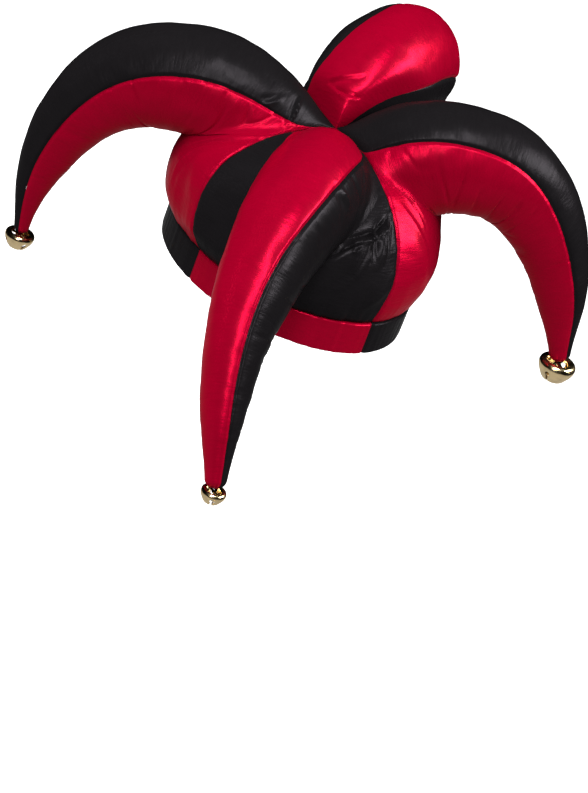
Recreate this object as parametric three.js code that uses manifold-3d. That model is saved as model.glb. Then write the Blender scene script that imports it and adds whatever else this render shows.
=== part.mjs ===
// Jester hat: a soft cap of four gores in a gathered band, with four stuffed horns that rise from
// its top, bend over and hang down, and a jingle bell at the tip of each. Millimetres, +Z up.
// The origin is the middle of the rim. The wearer faces -Y, and the wearer's left is +X.
import * as THREE from "three";
import { mergeVertices } from "three/addons/utils/BufferGeometryUtils.js";
import Module from "manifold-3d";

// Driving dimensions.
const RIM_HALF_LENGTH = 99; // outside of the band, middle to back
const RIM_HALF_WIDTH = 81; // outside of the band, middle to side
const BAND_HEIGHT = 24;
const BAND_WALL = 3; // two layers of satin over elastic
const BAND_EDGE_ROUND = 1; // how far its top and bottom edges turn in
const CROWN_HEIGHT = 117; // rim to the cloth at the middle of the top
const CROWN_WALL = 2.5; // satin with its lining
const HORN_LENGTH = 286; // along the middle of the stuffing
const HORN_WIDTH = 68; // widest, from side seam to side seam
const HORN_DEPTH = 80; // deepest, from the top panel to the under panel
const HORN_ROOT_RISE = 7; // how far the root's section stands above the crown's top
const HORN_ROOT_REACH = 7; // where the middle of the stuffing starts, out from the hat's axis
const HORN_ROOT_BACK = 24; // how far the root runs back before the crown trims it
const TOP_PANEL_ARC = 140; // share of the section that the top panel covers, in degrees
const SEAM_PINCH = 1.6; // how far a side seam pulls the stuffing in
const SEAM_PINCH_SPREAD = 0.3; // how far round from the seam it does so, in radians
const HORN_TIP_ROUND = 0.9; // length of the rounded tip, as a share of its half width
const HORN_TIP_END = 0.4; // width of the tip's flat end, as a share of the tip's width
const BELL_WIDTH = 27; // the widest of the four
const BELL_HEIGHT_TO_WIDTH = 0.58;
const BELL_MOUTH = 0.62; // the mouth's diameter as a share of the bell's width
const BELL_DISH = 0.05; // how far the rim round the mouth dips, as a share of the bell's height
const BELL_WALL = 0.8;
const BELL_SLIT = 1.5;
const BELL_SLIT_TOP = 0.5; // where a slit ends, as a share of the bell's height
const BELL_SLIT_HOLE = 3.4; // diameter of the round hole that ends a slit
const BELL_STRAP_RISE = 0.9; // its top, as a share of the bell's height
const BELL_STRAP_WIDTH = 0.15; // as a share of the bell's width
const BELL_STRAP_LENGTH = 0.95; // as a share of the bell's width, before the wall is taken off
const BELL_STRAP_THICKNESS = 1;
const PELLET_TO_BELL = 0.2; // the ball's diameter as a share of the bell's width
const GAP = 0.3; // between pieces that touch

// How finely the soft forms are faceted.
const HORN_STATIONS = 19;
const TOP_ARC_STEPS = 9;
const UNDER_ARC_STEPS = 11;
const CROWN_ROWS = 12;
const CROWN_COLUMNS = 48;
const BAND_COLUMNS = 20;
const CROWN_CLOSE = 0.985; // share of the way up at which the crown closes with a flat face
const BELL_SIDES = 14;
const SLIT_HOLE_SIDES = 8;
const PELLET_SIDES = 10;
const PELLET_RINGS = 6;
const SMALLEST_RADIUS = 0.01; // keeps the crown's top rings open

// The crown's outside, from the band to the middle of the top. height is a share of the crown above
// the band, side is a share of RIM_HALF_WIDTH and back is a share of RIM_HALF_LENGTH.
const CROWN_SECTIONS = [
  { height: 0.0, side: 1.01, back: 0.99 },
  { height: 0.16, side: 1.14, back: 1.03 },
  { height: 0.34, side: 1.18, back: 1.04 },
  { height: 0.5, side: 1.18, back: 1.0 },
  { height: 0.65, side: 1.13, back: 0.92 },
  { height: 0.78, side: 1.02, back: 0.8 },
  { height: 0.88, side: 0.84, back: 0.67 },
  { height: 0.95, side: 0.63, back: 0.51 },
  { height: 0.99, side: 0.36, back: 0.3 },
  { height: 1.0, side: 0.0, back: 0.0 },
];

// A horn's section along its length, at even steps from root to tip. width is a share of
// HORN_WIDTH, depth is a share of HORN_DEPTH, and blunt is how much a blunter tip adds there.
const HORN_SECTIONS = [
  { width: 0.8, depth: 0.76, blunt: 0 },
  { width: 1.0, depth: 0.98, blunt: 0 },
  { width: 0.94, depth: 0.93, blunt: 0 },
  { width: 0.71, depth: 0.73, blunt: 0 },
  { width: 0.43, depth: 0.43, blunt: 0.3 },
  { width: 0.14, depth: 0.13, blunt: 1 },
];

// How each horn bends, in degrees, at the same even steps. pitch is its direction above level, sway
// is its turn to the left seen from outside, and roll turns the side seams round the stuffing.
const BENDS = {
  front_left: [
    { pitch: 24, sway: 0, roll: 28 },
    { pitch: 20, sway: 0, roll: 11 },
    { pitch: -16, sway: 2, roll: -2 },
    { pitch: -58, sway: 4, roll: -7 },
    { pitch: -80, sway: 2, roll: -6 },
    { pitch: -96, sway: 0, roll: -6 },
  ],
  front_right: [
    { pitch: 66, sway: -12, roll: -25 },
    { pitch: 28, sway: -22, roll: 18 },
    { pitch: -20, sway: -16, roll: 28 },
    { pitch: -52, sway: 0, roll: 16 },
    { pitch: -72, sway: 6, roll: 8 },
    { pitch: -84, sway: 4, roll: 0 },
  ],
  back_right: [
    { pitch: 29, sway: 0, roll: -9 },
    { pitch: 31, sway: 6, roll: -19 },
    { pitch: -5, sway: 12, roll: -13 },
    { pitch: -45, sway: 10, roll: -4 },
    { pitch: -63, sway: 7, roll: -10 },
    { pitch: -72, sway: 5, roll: -20 },
  ],
  back_left: [
    { pitch: 20, sway: 4, roll: 16 },
    { pitch: 5, sway: -4, roll: 28 },
    { pitch: -26, sway: -9, roll: 38 },
    { pitch: -46, sway: 0, roll: 56 },
    { pitch: -55, sway: 20, roll: 70 },
    { pitch: -65, sway: 40, roll: 76 },
  ],
};

// Each section of the hat: the compass angle of its horn, which colour its gore and under panel
// have, the share of its length that the stuffing fills out, how plump the stuffing is, how blunt
// its tip is, the share of TOP_PANEL_ARC that its top panel covers, and how far out and up its root
// is pushed as shares of HORN_DEPTH.
const SECTIONS = [
  { name: "front_left", angle: -45, gore: "red", fill: 1.0, plump: 1.0, tip: 1.1, panel: 1.0, out: 0, up: 0 },
  { name: "front_right", angle: 225, gore: "black", fill: 0.98, plump: 1.12, tip: 1.0, panel: 0.76,
    out: 0.2, up: 0.09 },
  { name: "back_right", angle: 135, gore: "red", fill: 0.95, plump: 1.0, tip: 1.5, panel: 1.0,
    out: 0, up: 0 },
  { name: "back_left", angle: 45, gore: "black", fill: 1.0, plump: 1.0, tip: 1.5, panel: 1.0, out: 0, up: 0 },
];

// Each section's bell: its width as a share of BELL_WIDTH, and its turn about its own axis.
const BELLS = {
  front_left: { size: 0.78, turn: 80 },
  front_right: { size: 0.78, turn: 45 },
  back_right: { size: 1.0, turn: 20 },
  back_left: { size: 0.63, turn: 54 },
};

// Soft folds of the crown's cloth: the compass angle and height of the middle, the way the fold
// runs above level, and its length, width and depth, with every length a share of CROWN_HEIGHT. A
// negative depth is a dent.
const CROWN_FOLDS = [
  { angle: 78, height: 0.63, slope: 48, length: 0.44, width: 0.06, depth: 0.03 },
  { angle: 66, height: 0.5, slope: 35, length: 0.39, width: 0.07, depth: -0.026 },
  { angle: 84, height: 0.43, slope: 60, length: 0.22, width: 0.05, depth: 0.021 },
  { angle: 104, height: 0.65, slope: -55, length: 0.51, width: 0.08, depth: 0.026 },
  { angle: 136, height: 0.68, slope: 0, length: 0.68, width: 0.22, depth: -0.05 },
  { angle: 136, height: 0.29, slope: 0, length: 0.77, width: 0.12, depth: -0.02 },
  { angle: 12, height: 0.51, slope: 75, length: 0.51, width: 0.1, depth: -0.021 },
  { angle: -14, height: 0.5, slope: -70, length: 0.51, width: 0.1, depth: -0.021 },
  { angle: 170, height: 0.51, slope: 70, length: 0.51, width: 0.1, depth: -0.021 },
  { angle: 196, height: 0.48, slope: -65, length: 0.48, width: 0.09, depth: -0.021 },
  { angle: 256, height: 0.51, slope: 60, length: 0.46, width: 0.09, depth: -0.021 },
  { angle: 284, height: 0.5, slope: -66, length: 0.46, width: 0.09, depth: -0.021 },
];
const GATHERS = 24; // round the whole rim
const GATHER_DEPTH = 0.8; // how far in a gather dips, each way from its middle
const GATHER_FADE = 22; // how far up the crown the gathers reach

// A bell's outside, from the edge of its floor to its shoulder. reach is a share of its half width
// and rise is a share of its height.
const BELL_OUTSIDE = [
  { reach: 0.48, rise: 0 },
  { reach: 0.78, rise: 0.26 },
  { reach: 0.97, rise: 0.6 },
  { reach: 1.0, rise: 0.76 },
  { reach: 0.92, rise: 0.92 },
  { reach: 0.78, rise: 1.0 },
];

// The band's section: how far in from its outside, and the height as a share of BAND_HEIGHT.
const BAND_SECTION = [
  { inset: BAND_EDGE_ROUND, height: 0 },
  { inset: 0, height: 0.25 },
  { inset: 0, height: 0.8 },
  { inset: BAND_EDGE_ROUND, height: 1 },
  { inset: BAND_WALL, height: 1 },
  { inset: BAND_WALL, height: 0 },
];

const LOOKS = {
  red: { color: 0xb8002c, roughness: 0.35, metalness: 0 },
  black: { color: 0x151515, roughness: 0.32, metalness: 0 },
  brass: { color: 0xc9a558, roughness: 0.22, metalness: 1 },
  steel: { color: 0x9a9a98, roughness: 0.35, metalness: 1 },
};

const wasm = await Module();
wasm.setup();

const UP = new THREE.Vector3(0, 0, 1);
const radians = THREE.MathUtils.degToRad;
const otherColour = (colour) => (colour === "red" ? "black" : "red");

// A smooth curve through evenly spaced values, read at a share of its length.
function smoothValue(values, share) {
  const last = values.length - 1;
  const place = THREE.MathUtils.clamp(share, 0, 1) * last;
  const row = Math.min(Math.floor(place), last - 1);
  const t = place - row;
  const a = values[Math.max(row - 1, 0)];
  const b = values[row];
  const c = values[row + 1];
  const d = values[Math.min(row + 2, last)];
  const bend = (c - a) / 2;
  const exit = (d - b) / 2;
  const cubic = 2 * b - 2 * c + bend + exit;
  const square = -3 * b + 3 * c - 2 * bend - exit;
  return ((cubic * t + square) * t + bend) * t + b;
}

function tableValue(table, column, share) {
  return smoothValue(
    table.map((row) => row[column]),
    share,
  );
}

// Solids and booleans.

function solidFromGeometry(geometry) {
  const bare = geometry.clone();
  bare.deleteAttribute("normal");
  bare.deleteAttribute("uv");
  const merged = mergeVertices(bare, 1e-4);
  return solidFromArrays(merged.attributes.position.array, merged.index.array);
}

function solidFromArrays(vertices, triangles) {
  const mesh = new wasm.Mesh({
    numProp: 3,
    vertProperties: new Float32Array(vertices),
    triVerts: new Uint32Array(triangles),
  });
  return new wasm.Manifold(mesh);
}

// The main body of a cut solid, without the crumbs that a cut may leave.
function mainBody(solid) {
  const bodies = solid.decompose();
  bodies.sort((a, b) => b.volume() - a.volume());
  return bodies[0];
}

function geometryFromSolid(solid) {
  const mesh = solid.getMesh();
  const positions = new Float32Array(mesh.numVert * 3);
  for (let i = 0; i < mesh.numVert; i++) {
    for (let k = 0; k < 3; k++) {
      positions[i * 3 + k] = mesh.vertProperties[i * mesh.numProp + k];
    }
  }
  const geometry = new THREE.BufferGeometry();
  geometry.setAttribute("position", new THREE.BufferAttribute(positions, 3));
  geometry.setIndex([...mesh.triVerts]);
  geometry.computeVertexNormals();
  return geometry;
}

function signedVolume(points, triangles) {
  let sum = 0;
  for (let i = 0; i < triangles.length; i += 3) {
    const [a, b, c] = [0, 1, 2].map((k) => points[triangles[i + k]]);
    sum += a.dot(b.clone().cross(c)) / 6;
  }
  return sum;
}

// A closed solid through rings of equally many points, with a flat fan over each end.
function loft(rings) {
  const size = rings[0].length;
  const points = rings.flat();
  const triangles = [];
  for (let r = 0; r + 1 < rings.length; r++) {
    for (let i = 0; i < size; i++) {
      const next = (i + 1) % size;
      const a = r * size + i;
      const b = r * size + next;
      const c = a + size;
      const d = b + size;
      triangles.push(a, b, d, a, d, c);
    }
  }
  for (const [ring, turned] of [
    [0, true],
    [rings.length - 1, false],
  ]) {
    const middle = new THREE.Vector3();
    rings[ring].forEach((p) => middle.addScaledVector(p, 1 / size));
    const hub = points.push(middle) - 1;
    for (let i = 0; i < size; i++) {
      const a = ring * size + i;
      const b = ring * size + ((i + 1) % size);
      if (turned) triangles.push(hub, b, a);
      else triangles.push(hub, a, b);
    }
  }
  if (signedVolume(points, triangles) < 0) triangles.reverse();
  return solidFromArrays(
    points.flatMap((p) => [p.x, p.y, p.z]),
    triangles,
  );
}

// The quarter of the hat round one horn, held back from its neighbours by half a gap.
function quarter(angle) {
  const size = 2 * (HORN_LENGTH + RIM_HALF_LENGTH);
  const box = new THREE.BoxGeometry(size, size, 2 * size);
  box.translate(size / 2 + GAP / 2, size / 2 + GAP / 2, 0);
  box.rotateZ(radians(angle - 45));
  return solidFromGeometry(box);
}

// The crown.

// How far the cloth stands out from its plain form at a place on the crown.
function clothRelief(angle, height) {
  const above = height - BAND_HEIGHT;
  const gather = Math.exp(-Math.max(above, 0) / GATHER_FADE) * GATHER_DEPTH;
  let relief = gather * (Math.cos(GATHERS * angle) - 1);
  for (const fold of CROWN_FOLDS) {
    const turn = angle - radians(fold.angle);
    const across = Math.atan2(Math.sin(turn), Math.cos(turn)) * RIM_HALF_LENGTH;
    const up = height - fold.height * CROWN_HEIGHT;
    const slope = radians(fold.slope);
    const along = (across * Math.cos(slope) + up * Math.sin(slope)) / (fold.length * CROWN_HEIGHT);
    const off = (up * Math.cos(slope) - across * Math.sin(slope)) / (fold.width * CROWN_HEIGHT);
    relief += fold.depth * CROWN_HEIGHT * Math.exp(-((2 * along) ** 2) - off ** 2);
  }
  return relief;
}

// A point of the crown, at a share of the way from band to top, moved in by an inset.
function crownPoint(angle, share, inset) {
  const rise = CROWN_HEIGHT - BAND_HEIGHT;
  const step = 0.02;
  const sideAt = (s) => tableValue(CROWN_SECTIONS, "side", s) * RIM_HALF_WIDTH;
  const backAt = (s) => tableValue(CROWN_SECTIONS, "back", s) * RIM_HALF_LENGTH;
  const radiusAt = (s) => (sideAt(s) + backAt(s)) / 2;
  const heightAt = (s) => tableValue(CROWN_SECTIONS, "height", s) * rise;
  const before = Math.max(share - step, 0);
  const after = Math.min(share + step, 1);
  const lean = Math.atan2(radiusAt(before) - radiusAt(after), heightAt(after) - heightAt(before));
  const height = BAND_HEIGHT + GAP + heightAt(share);
  const relief = (clothRelief(angle, height) - inset) * Math.cos(lean);
  return new THREE.Vector3(
    Math.max(sideAt(share) + relief, SMALLEST_RADIUS) * Math.cos(angle),
    Math.max(backAt(share) + relief, SMALLEST_RADIUS) * Math.sin(angle),
    height - inset * Math.max(Math.sin(lean), 0),
  );
}

// The dome inside a given inset, closed at its bottom, which may reach down below the band.
function dome(inset, drop) {
  const rings = [];
  const ring = (share) =>
    Array.from({ length: CROWN_COLUMNS }, (_, i) =>
      crownPoint((i * 2 * Math.PI) / CROWN_COLUMNS, share, inset),
    );
  if (drop > 0) {
    rings.push(ring(0).map((p) => p.clone().setZ(p.z - drop)));
  }
  for (let row = 0; row < CROWN_ROWS; row++) rings.push(ring(row / CROWN_ROWS));
  rings.push(ring(CROWN_CLOSE));
  return loft(rings);
}

// The horns.

// Stations along a horn: the middle of the section, its two directions, half sizes and seam turn.
function hornStations(section) {
  const bend = BENDS[section.name];
  const out = new THREE.Vector3(Math.cos(radians(section.angle)), Math.sin(radians(section.angle)), 0);
  const left = UP.clone().cross(out);
  const direction = (share) => {
    const pitch = radians(tableValue(bend, "pitch", share));
    const sway = radians(tableValue(bend, "sway", share));
    const level = out.clone().multiplyScalar(Math.cos(sway)).addScaledVector(left, Math.sin(sway));
    return level.multiplyScalar(Math.cos(pitch)).addScaledVector(UP, Math.sin(pitch));
  };
  const rootReach = HORN_ROOT_REACH + section.out * HORN_DEPTH;
  const rootHeight = CROWN_HEIGHT + HORN_ROOT_RISE + (section.up - 0.5) * HORN_DEPTH;
  const middle = out.clone().multiplyScalar(rootReach).setZ(rootHeight);
  const step = (HORN_LENGTH * section.fill) / HORN_STATIONS;
  const stations = [];
  for (let i = 0; i <= HORN_STATIONS; i++) {
    const share = i / HORN_STATIONS;
    const blunt = 1 + (section.tip - 1) * tableValue(HORN_SECTIONS, "blunt", share);
    const fullness = (section.plump * blunt) / 2;
    if (i > 0) middle.addScaledVector(direction(share - 0.5 / HORN_STATIONS), step);
    const ahead = direction(share);
    const sway = radians(tableValue(bend, "sway", share));
    const side = left.clone().multiplyScalar(Math.cos(sway)).addScaledVector(out, -Math.sin(sway));
    stations.push({
      middle: middle.clone(),
      side,
      rise: ahead.clone().cross(side).normalize(),
      halfWidth: tableValue(HORN_SECTIONS, "width", share) * HORN_WIDTH * fullness,
      halfDepth: tableValue(HORN_SECTIONS, "depth", share) * HORN_DEPTH * fullness,
      roll: radians(tableValue(bend, "roll", share)),
      seam: radians((180 - TOP_PANEL_ARC * section.panel) / 2),
    });
  }
  const root = stations[0];
  const tip = stations[HORN_STATIONS];
  const ahead = direction(1);
  stations.unshift({
    ...root,
    middle: root.middle.clone().addScaledVector(direction(0), -HORN_ROOT_BACK),
  });
  stations.push({
    ...tip,
    middle: tip.middle.clone().addScaledVector(ahead, tip.halfWidth * HORN_TIP_ROUND),
    halfWidth: tip.halfWidth * HORN_TIP_END,
    halfDepth: tip.halfDepth * HORN_TIP_END,
  });
  return stations;
}

// The point of a section at an angle from its left side round towards its top.
function sectionPoint(station, angle, grow) {
  const offSeam = [station.seam, Math.PI - station.seam].map((s) => {
    const turn = angle - station.roll - s;
    return Math.atan2(Math.sin(turn), Math.cos(turn));
  });
  const pinch = offSeam.reduce((sum, turn) => sum + Math.exp(-((turn / SEAM_PINCH_SPREAD) ** 2)), 0);
  const shrink = 1 - (pinch * SEAM_PINCH * 2) / HORN_WIDTH;
  return station.middle
    .clone()
    .addScaledVector(station.side, Math.cos(angle) * (station.halfWidth * shrink + grow))
    .addScaledVector(station.rise, Math.sin(angle) * (station.halfDepth * shrink + grow));
}

// One panel's share of the stuffing, between two seam angles, closed by a flat face.
function hornHalf(stations, isTop, grow) {
  const steps = isTop ? TOP_ARC_STEPS : UNDER_ARC_STEPS;
  const rings = stations.map((station) => {
    const back = (GAP / 2 - grow) / Math.max(station.halfWidth, 1);
    const start = station.seam + station.roll + (isTop ? back : -back);
    const end = Math.PI - station.seam + station.roll - (isTop ? back : 2 * Math.PI - back);
    return Array.from({ length: steps + 1 }, (_, i) =>
      sectionPoint(station, start + ((end - start) * i) / steps, grow),
    );
  });
  return loft(rings);
}

// Both halves and the gap between them, larger all over by the gap, for what has to clear them.
function hornClearance(stations) {
  return hornHalf(stations, true, GAP).add(hornHalf(stations, false, GAP));
}

// The band.

function bandPiece(section) {
  const outline = (angle, inset) => {
    const ruffle = GATHER_DEPTH * (Math.cos(GATHERS * angle) - 1) - inset;
    return [
      (RIM_HALF_WIDTH + ruffle) * Math.cos(angle),
      (RIM_HALF_LENGTH + ruffle) * Math.sin(angle),
    ];
  };
  const edge = GAP / 2 / RIM_HALF_WIDTH;
  const rings = [];
  for (let i = 0; i <= BAND_COLUMNS; i++) {
    const share = i / BAND_COLUMNS;
    const angle = radians(section.angle - 45) + edge + share * (Math.PI / 2 - 2 * edge);
    rings.push(
      BAND_SECTION.map(
        (row) => new THREE.Vector3(...outline(angle, row.inset), row.height * BAND_HEIGHT),
      ),
    );
  }
  return loft(rings);
}

// The bells. A bell hangs straight down, with its own origin at the middle of its floor outside.

function bellSolid(width) {
  const radius = width / 2;
  const height = width * BELL_HEIGHT_TO_WIDTH;
  const profile = [new THREE.Vector2(0, 0)];
  BELL_OUTSIDE.forEach((row) => {
    profile.push(new THREE.Vector2(row.reach * radius, row.rise * height));
  });
  profile.push(new THREE.Vector2(radius * BELL_MOUTH, height * (1 - BELL_DISH)));
  [...BELL_OUTSIDE].reverse().forEach((row) => {
    const inReach = row.reach * radius - BELL_WALL;
    const inRise = BELL_WALL + row.rise * (height - 2 * BELL_WALL);
    if (row.rise < 1) profile.push(new THREE.Vector2(inReach, inRise));
  });
  profile.push(new THREE.Vector2(0, BELL_WALL));
  const shell = new THREE.LatheGeometry(profile, BELL_SIDES);
  shell.rotateX(Math.PI / 2);
  let bell = solidFromGeometry(shell);

  const slitTop = height * BELL_SLIT_TOP;
  const through = width + 2 * BELL_WALL;
  for (const turn of [0, Math.PI / 2]) {
    const slit = new THREE.BoxGeometry(through, BELL_SLIT, slitTop + BELL_WALL);
    slit.translate(0, 0, (slitTop - BELL_WALL) / 2);
    slit.rotateZ(turn);
    const hole = BELL_SLIT_HOLE / 2;
    const holes = new THREE.CylinderGeometry(hole, hole, through, SLIT_HOLE_SIDES);
    holes.rotateZ(Math.PI / 2);
    holes.translate(0, 0, slitTop);
    holes.rotateZ(turn);
    bell = bell.subtract(solidFromGeometry(slit)).subtract(solidFromGeometry(holes));
  }
  const strapLength = width * BELL_STRAP_LENGTH - BELL_WALL; // into the wall on both sides
  const strapWidth = width * BELL_STRAP_WIDTH;
  const strap = new THREE.BoxGeometry(strapLength, strapWidth, BELL_STRAP_THICKNESS);
  strap.rotateZ(Math.PI / 4);
  strap.translate(0, 0, strapTop(width) - BELL_STRAP_THICKNESS / 2);
  return bell.add(solidFromGeometry(strap));
}

// The height of the strap across the bell's mouth, which the horn's tip is sewn to.
function strapTop(width) {
  return width * BELL_HEIGHT_TO_WIDTH * BELL_STRAP_RISE;
}

// Assembly.

function named(name, solid, look) {
  const mesh = new THREE.Mesh(geometryFromSolid(solid), new THREE.MeshStandardMaterial(LOOKS[look]));
  mesh.name = name;
  return mesh;
}

const hat = new THREE.Group();
const headSpace = dome(CROWN_WALL, CROWN_HEIGHT);
const crownShell = dome(0, 0).subtract(headSpace);

for (const section of SECTIONS) {
  const { name, gore } = section;
  const wedge = quarter(section.angle);
  const stations = hornStations(section);

  const crown = crownShell.intersect(wedge).subtract(hornClearance(stations));
  hat.add(named(`crown_${name}`, mainBody(crown), gore));
  hat.add(named(`band_${name}`, bandPiece(section), otherColour(gore)));

  for (const [part, isTop, look] of [
    ["under", false, gore],
    ["top", true, otherColour(gore)],
  ]) {
    const half = hornHalf(stations, isTop, 0).intersect(wedge).subtract(headSpace);
    hat.add(named(`horn_${name}_${part}`, mainBody(half), look));
  }

  const tip = stations[stations.length - 1];
  const tipDrop = Math.hypot(tip.side.z * tip.halfWidth, tip.rise.z * tip.halfDepth);
  const { size, turn } = BELLS[section.name];
  const bellWidth = size * BELL_WIDTH;
  const bellGroup = new THREE.Group();
  bellGroup.position.copy(tip.middle);
  bellGroup.position.z -= tipDrop + GAP + strapTop(bellWidth);
  bellGroup.rotation.z = radians(turn);
  bellGroup.add(named(`bell_${name}`, bellSolid(bellWidth), "brass"));

  const pelletRadius = (PELLET_TO_BELL * bellWidth) / 2;
  const pellet = new THREE.SphereGeometry(pelletRadius, PELLET_SIDES, PELLET_RINGS);
  pellet.rotateX(Math.PI / 2);
  const pelletMesh = named(`pellet_${name}`, solidFromGeometry(pellet), "steel");
  pelletMesh.position.z = BELL_WALL + GAP + pelletRadius;
  bellGroup.add(pelletMesh);
  hat.add(bellGroup);
}

export default hat;
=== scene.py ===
import math

import bmesh
import bpy
import numpy as np
from mathutils import Matrix, Vector, noise


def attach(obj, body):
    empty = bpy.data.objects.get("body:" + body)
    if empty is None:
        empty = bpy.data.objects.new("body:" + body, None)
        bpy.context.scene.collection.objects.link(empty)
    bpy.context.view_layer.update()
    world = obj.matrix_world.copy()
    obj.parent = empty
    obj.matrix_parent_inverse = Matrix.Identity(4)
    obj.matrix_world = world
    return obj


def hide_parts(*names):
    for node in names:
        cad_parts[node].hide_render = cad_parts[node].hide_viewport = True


MM = 0.001

# The forms that the CAD model shares with this script.
RIM_HALF_LENGTH = 99
RIM_HALF_WIDTH = 81
BAND_HEIGHT = 24
BAND_WALL = 3
CROWN_HEIGHT = 117
CROWN_WALL = 2.5
HORN_LENGTH = 286
HORN_WIDTH = 68
HORN_DEPTH = 80
HORN_ROOT_RISE = 7
HORN_ROOT_REACH = 7
HORN_ROOT_BACK = 24
TOP_PANEL_ARC = 140
BELL_WIDTH = 27
BELL_HEIGHT_TO_WIDTH = 0.58
BELL_WALL = 0.8
BELL_SLIT = 1.5
BELL_SLIT_TOP = 0.5
BELL_SLIT_HOLE = 3.4
BELL_STRAP_RISE = 0.9
PELLET_TO_BELL = 0.2
GAP = 0.3
CROWN_RISE = CROWN_HEIGHT - BAND_HEIGHT  # from the band to the top

CROWN_SECTIONS = [
    {"height": 0.0, "side": 1.01, "back": 0.99},
    {"height": 0.16, "side": 1.14, "back": 1.03},
    {"height": 0.34, "side": 1.18, "back": 1.04},
    {"height": 0.5, "side": 1.18, "back": 1.0},
    {"height": 0.65, "side": 1.13, "back": 0.92},
    {"height": 0.78, "side": 1.02, "back": 0.8},
    {"height": 0.88, "side": 0.84, "back": 0.67},
    {"height": 0.95, "side": 0.63, "back": 0.51},
    {"height": 0.99, "side": 0.36, "back": 0.3},
    {"height": 1.0, "side": 0.0, "back": 0.0},
]
HORN_SECTIONS = [
    {"width": 0.8, "depth": 0.76, "blunt": 0},
    {"width": 1.0, "depth": 0.98, "blunt": 0},
    {"width": 0.94, "depth": 0.93, "blunt": 0},
    {"width": 0.71, "depth": 0.73, "blunt": 0},
    {"width": 0.43, "depth": 0.43, "blunt": 0.3},
    {"width": 0.14, "depth": 0.13, "blunt": 1},
]
BENDS = {
    "front_left": [
        {"pitch": 24, "sway": 0, "roll": 28},
        {"pitch": 20, "sway": 0, "roll": 11},
        {"pitch": -16, "sway": 2, "roll": -2},
        {"pitch": -58, "sway": 4, "roll": -7},
        {"pitch": -80, "sway": 2, "roll": -6},
        {"pitch": -96, "sway": 0, "roll": -6},
    ],
    "front_right": [
        {"pitch": 66, "sway": -12, "roll": -25},
        {"pitch": 28, "sway": -22, "roll": 18},
        {"pitch": -20, "sway": -16, "roll": 28},
        {"pitch": -52, "sway": 0, "roll": 16},
        {"pitch": -72, "sway": 6, "roll": 8},
        {"pitch": -84, "sway": 4, "roll": 0},
    ],
    "back_right": [
        {"pitch": 29, "sway": 0, "roll": -9},
        {"pitch": 31, "sway": 6, "roll": -19},
        {"pitch": -5, "sway": 12, "roll": -13},
        {"pitch": -45, "sway": 10, "roll": -4},
        {"pitch": -63, "sway": 7, "roll": -10},
        {"pitch": -72, "sway": 5, "roll": -20},
    ],
    "back_left": [
        {"pitch": 20, "sway": 4, "roll": 16},
        {"pitch": 5, "sway": -4, "roll": 28},
        {"pitch": -26, "sway": -9, "roll": 38},
        {"pitch": -46, "sway": 0, "roll": 56},
        {"pitch": -55, "sway": 20, "roll": 70},
        {"pitch": -65, "sway": 40, "roll": 76},
    ],
}
SECTIONS = [
    {"name": "front_left", "angle": -45, "gore": "red", "fill": 1.0, "plump": 1.0,
     "tip": 1.1, "panel": 1.0, "out": 0, "up": 0, "seed": 3},
    {"name": "front_right", "angle": 225, "gore": "black", "fill": 0.98, "plump": 1.12,
     "tip": 1.0, "panel": 0.76, "out": 0.2, "up": 0.09, "seed": 17},
    {"name": "back_right", "angle": 135, "gore": "red", "fill": 0.95, "plump": 1.0,
     "tip": 1.5, "panel": 1.0, "out": 0, "up": 0, "seed": 29},
    {"name": "back_left", "angle": 45, "gore": "black", "fill": 1.0, "plump": 1.0,
     "tip": 1.5, "panel": 1.0, "out": 0, "up": 0, "seed": 41},
]
BELLS = {
    "front_left": {"size": 0.78, "turn": 80},
    "front_right": {"size": 0.78, "turn": 45},
    "back_right": {"size": 1.0, "turn": 20},
    "back_left": {"size": 0.63, "turn": 54},
}
CROWN_FOLDS = [
    {"angle": 78, "height": 0.63, "slope": 48, "length": 0.44, "width": 0.06, "depth": 0.03},
    {"angle": 66, "height": 0.5, "slope": 35, "length": 0.39, "width": 0.07, "depth": -0.026},
    {"angle": 84, "height": 0.43, "slope": 60, "length": 0.22, "width": 0.05, "depth": 0.021},
    {"angle": 104, "height": 0.65, "slope": -55, "length": 0.51, "width": 0.08, "depth": 0.026},
    {"angle": 136, "height": 0.68, "slope": 0, "length": 0.68, "width": 0.22, "depth": -0.05},
    {"angle": 136, "height": 0.29, "slope": 0, "length": 0.77, "width": 0.12, "depth": -0.02},
    {"angle": 12, "height": 0.51, "slope": 75, "length": 0.51, "width": 0.1, "depth": -0.021},
    {"angle": -14, "height": 0.5, "slope": -70, "length": 0.51, "width": 0.1, "depth": -0.021},
    {"angle": 170, "height": 0.51, "slope": 70, "length": 0.51, "width": 0.1, "depth": -0.021},
    {"angle": 196, "height": 0.48, "slope": -65, "length": 0.48, "width": 0.09, "depth": -0.021},
    {"angle": 256, "height": 0.51, "slope": 60, "length": 0.46, "width": 0.09, "depth": -0.021},
    {"angle": 284, "height": 0.5, "slope": -66, "length": 0.46, "width": 0.09, "depth": -0.021},
]

BELL_OUTSIDE = [
    {"reach": 0.44, "rise": 0.0},
    {"reach": 0.6, "rise": 0.06},
    {"reach": 0.79, "rise": 0.28},
    {"reach": 0.93, "rise": 0.5},
    {"reach": 1.0, "rise": 0.72},
    {"reach": 0.95, "rise": 0.9},
    {"reach": 0.82, "rise": 0.99},
    {"reach": 0.66, "rise": 0.96},
    {"reach": 0.57, "rise": 0.87},
]

# The camera, and the photo that it matches.
CAMERA_AZIMUTH = 44.1
CAMERA_ELEVATION = 28.3
CAMERA_ROLL = 21.3
CAMERA_DISTANCE = 2000
CAMERA_RIGHT = 9.2
CAMERA_UP = -84.2
CAMERA_FOCAL_PIXELS = 2891
PHOTO_HEIGHT_PIXELS = 793
SENSOR_WIDTH = 36
CAMERA_CLIP = 90  # metres

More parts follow.
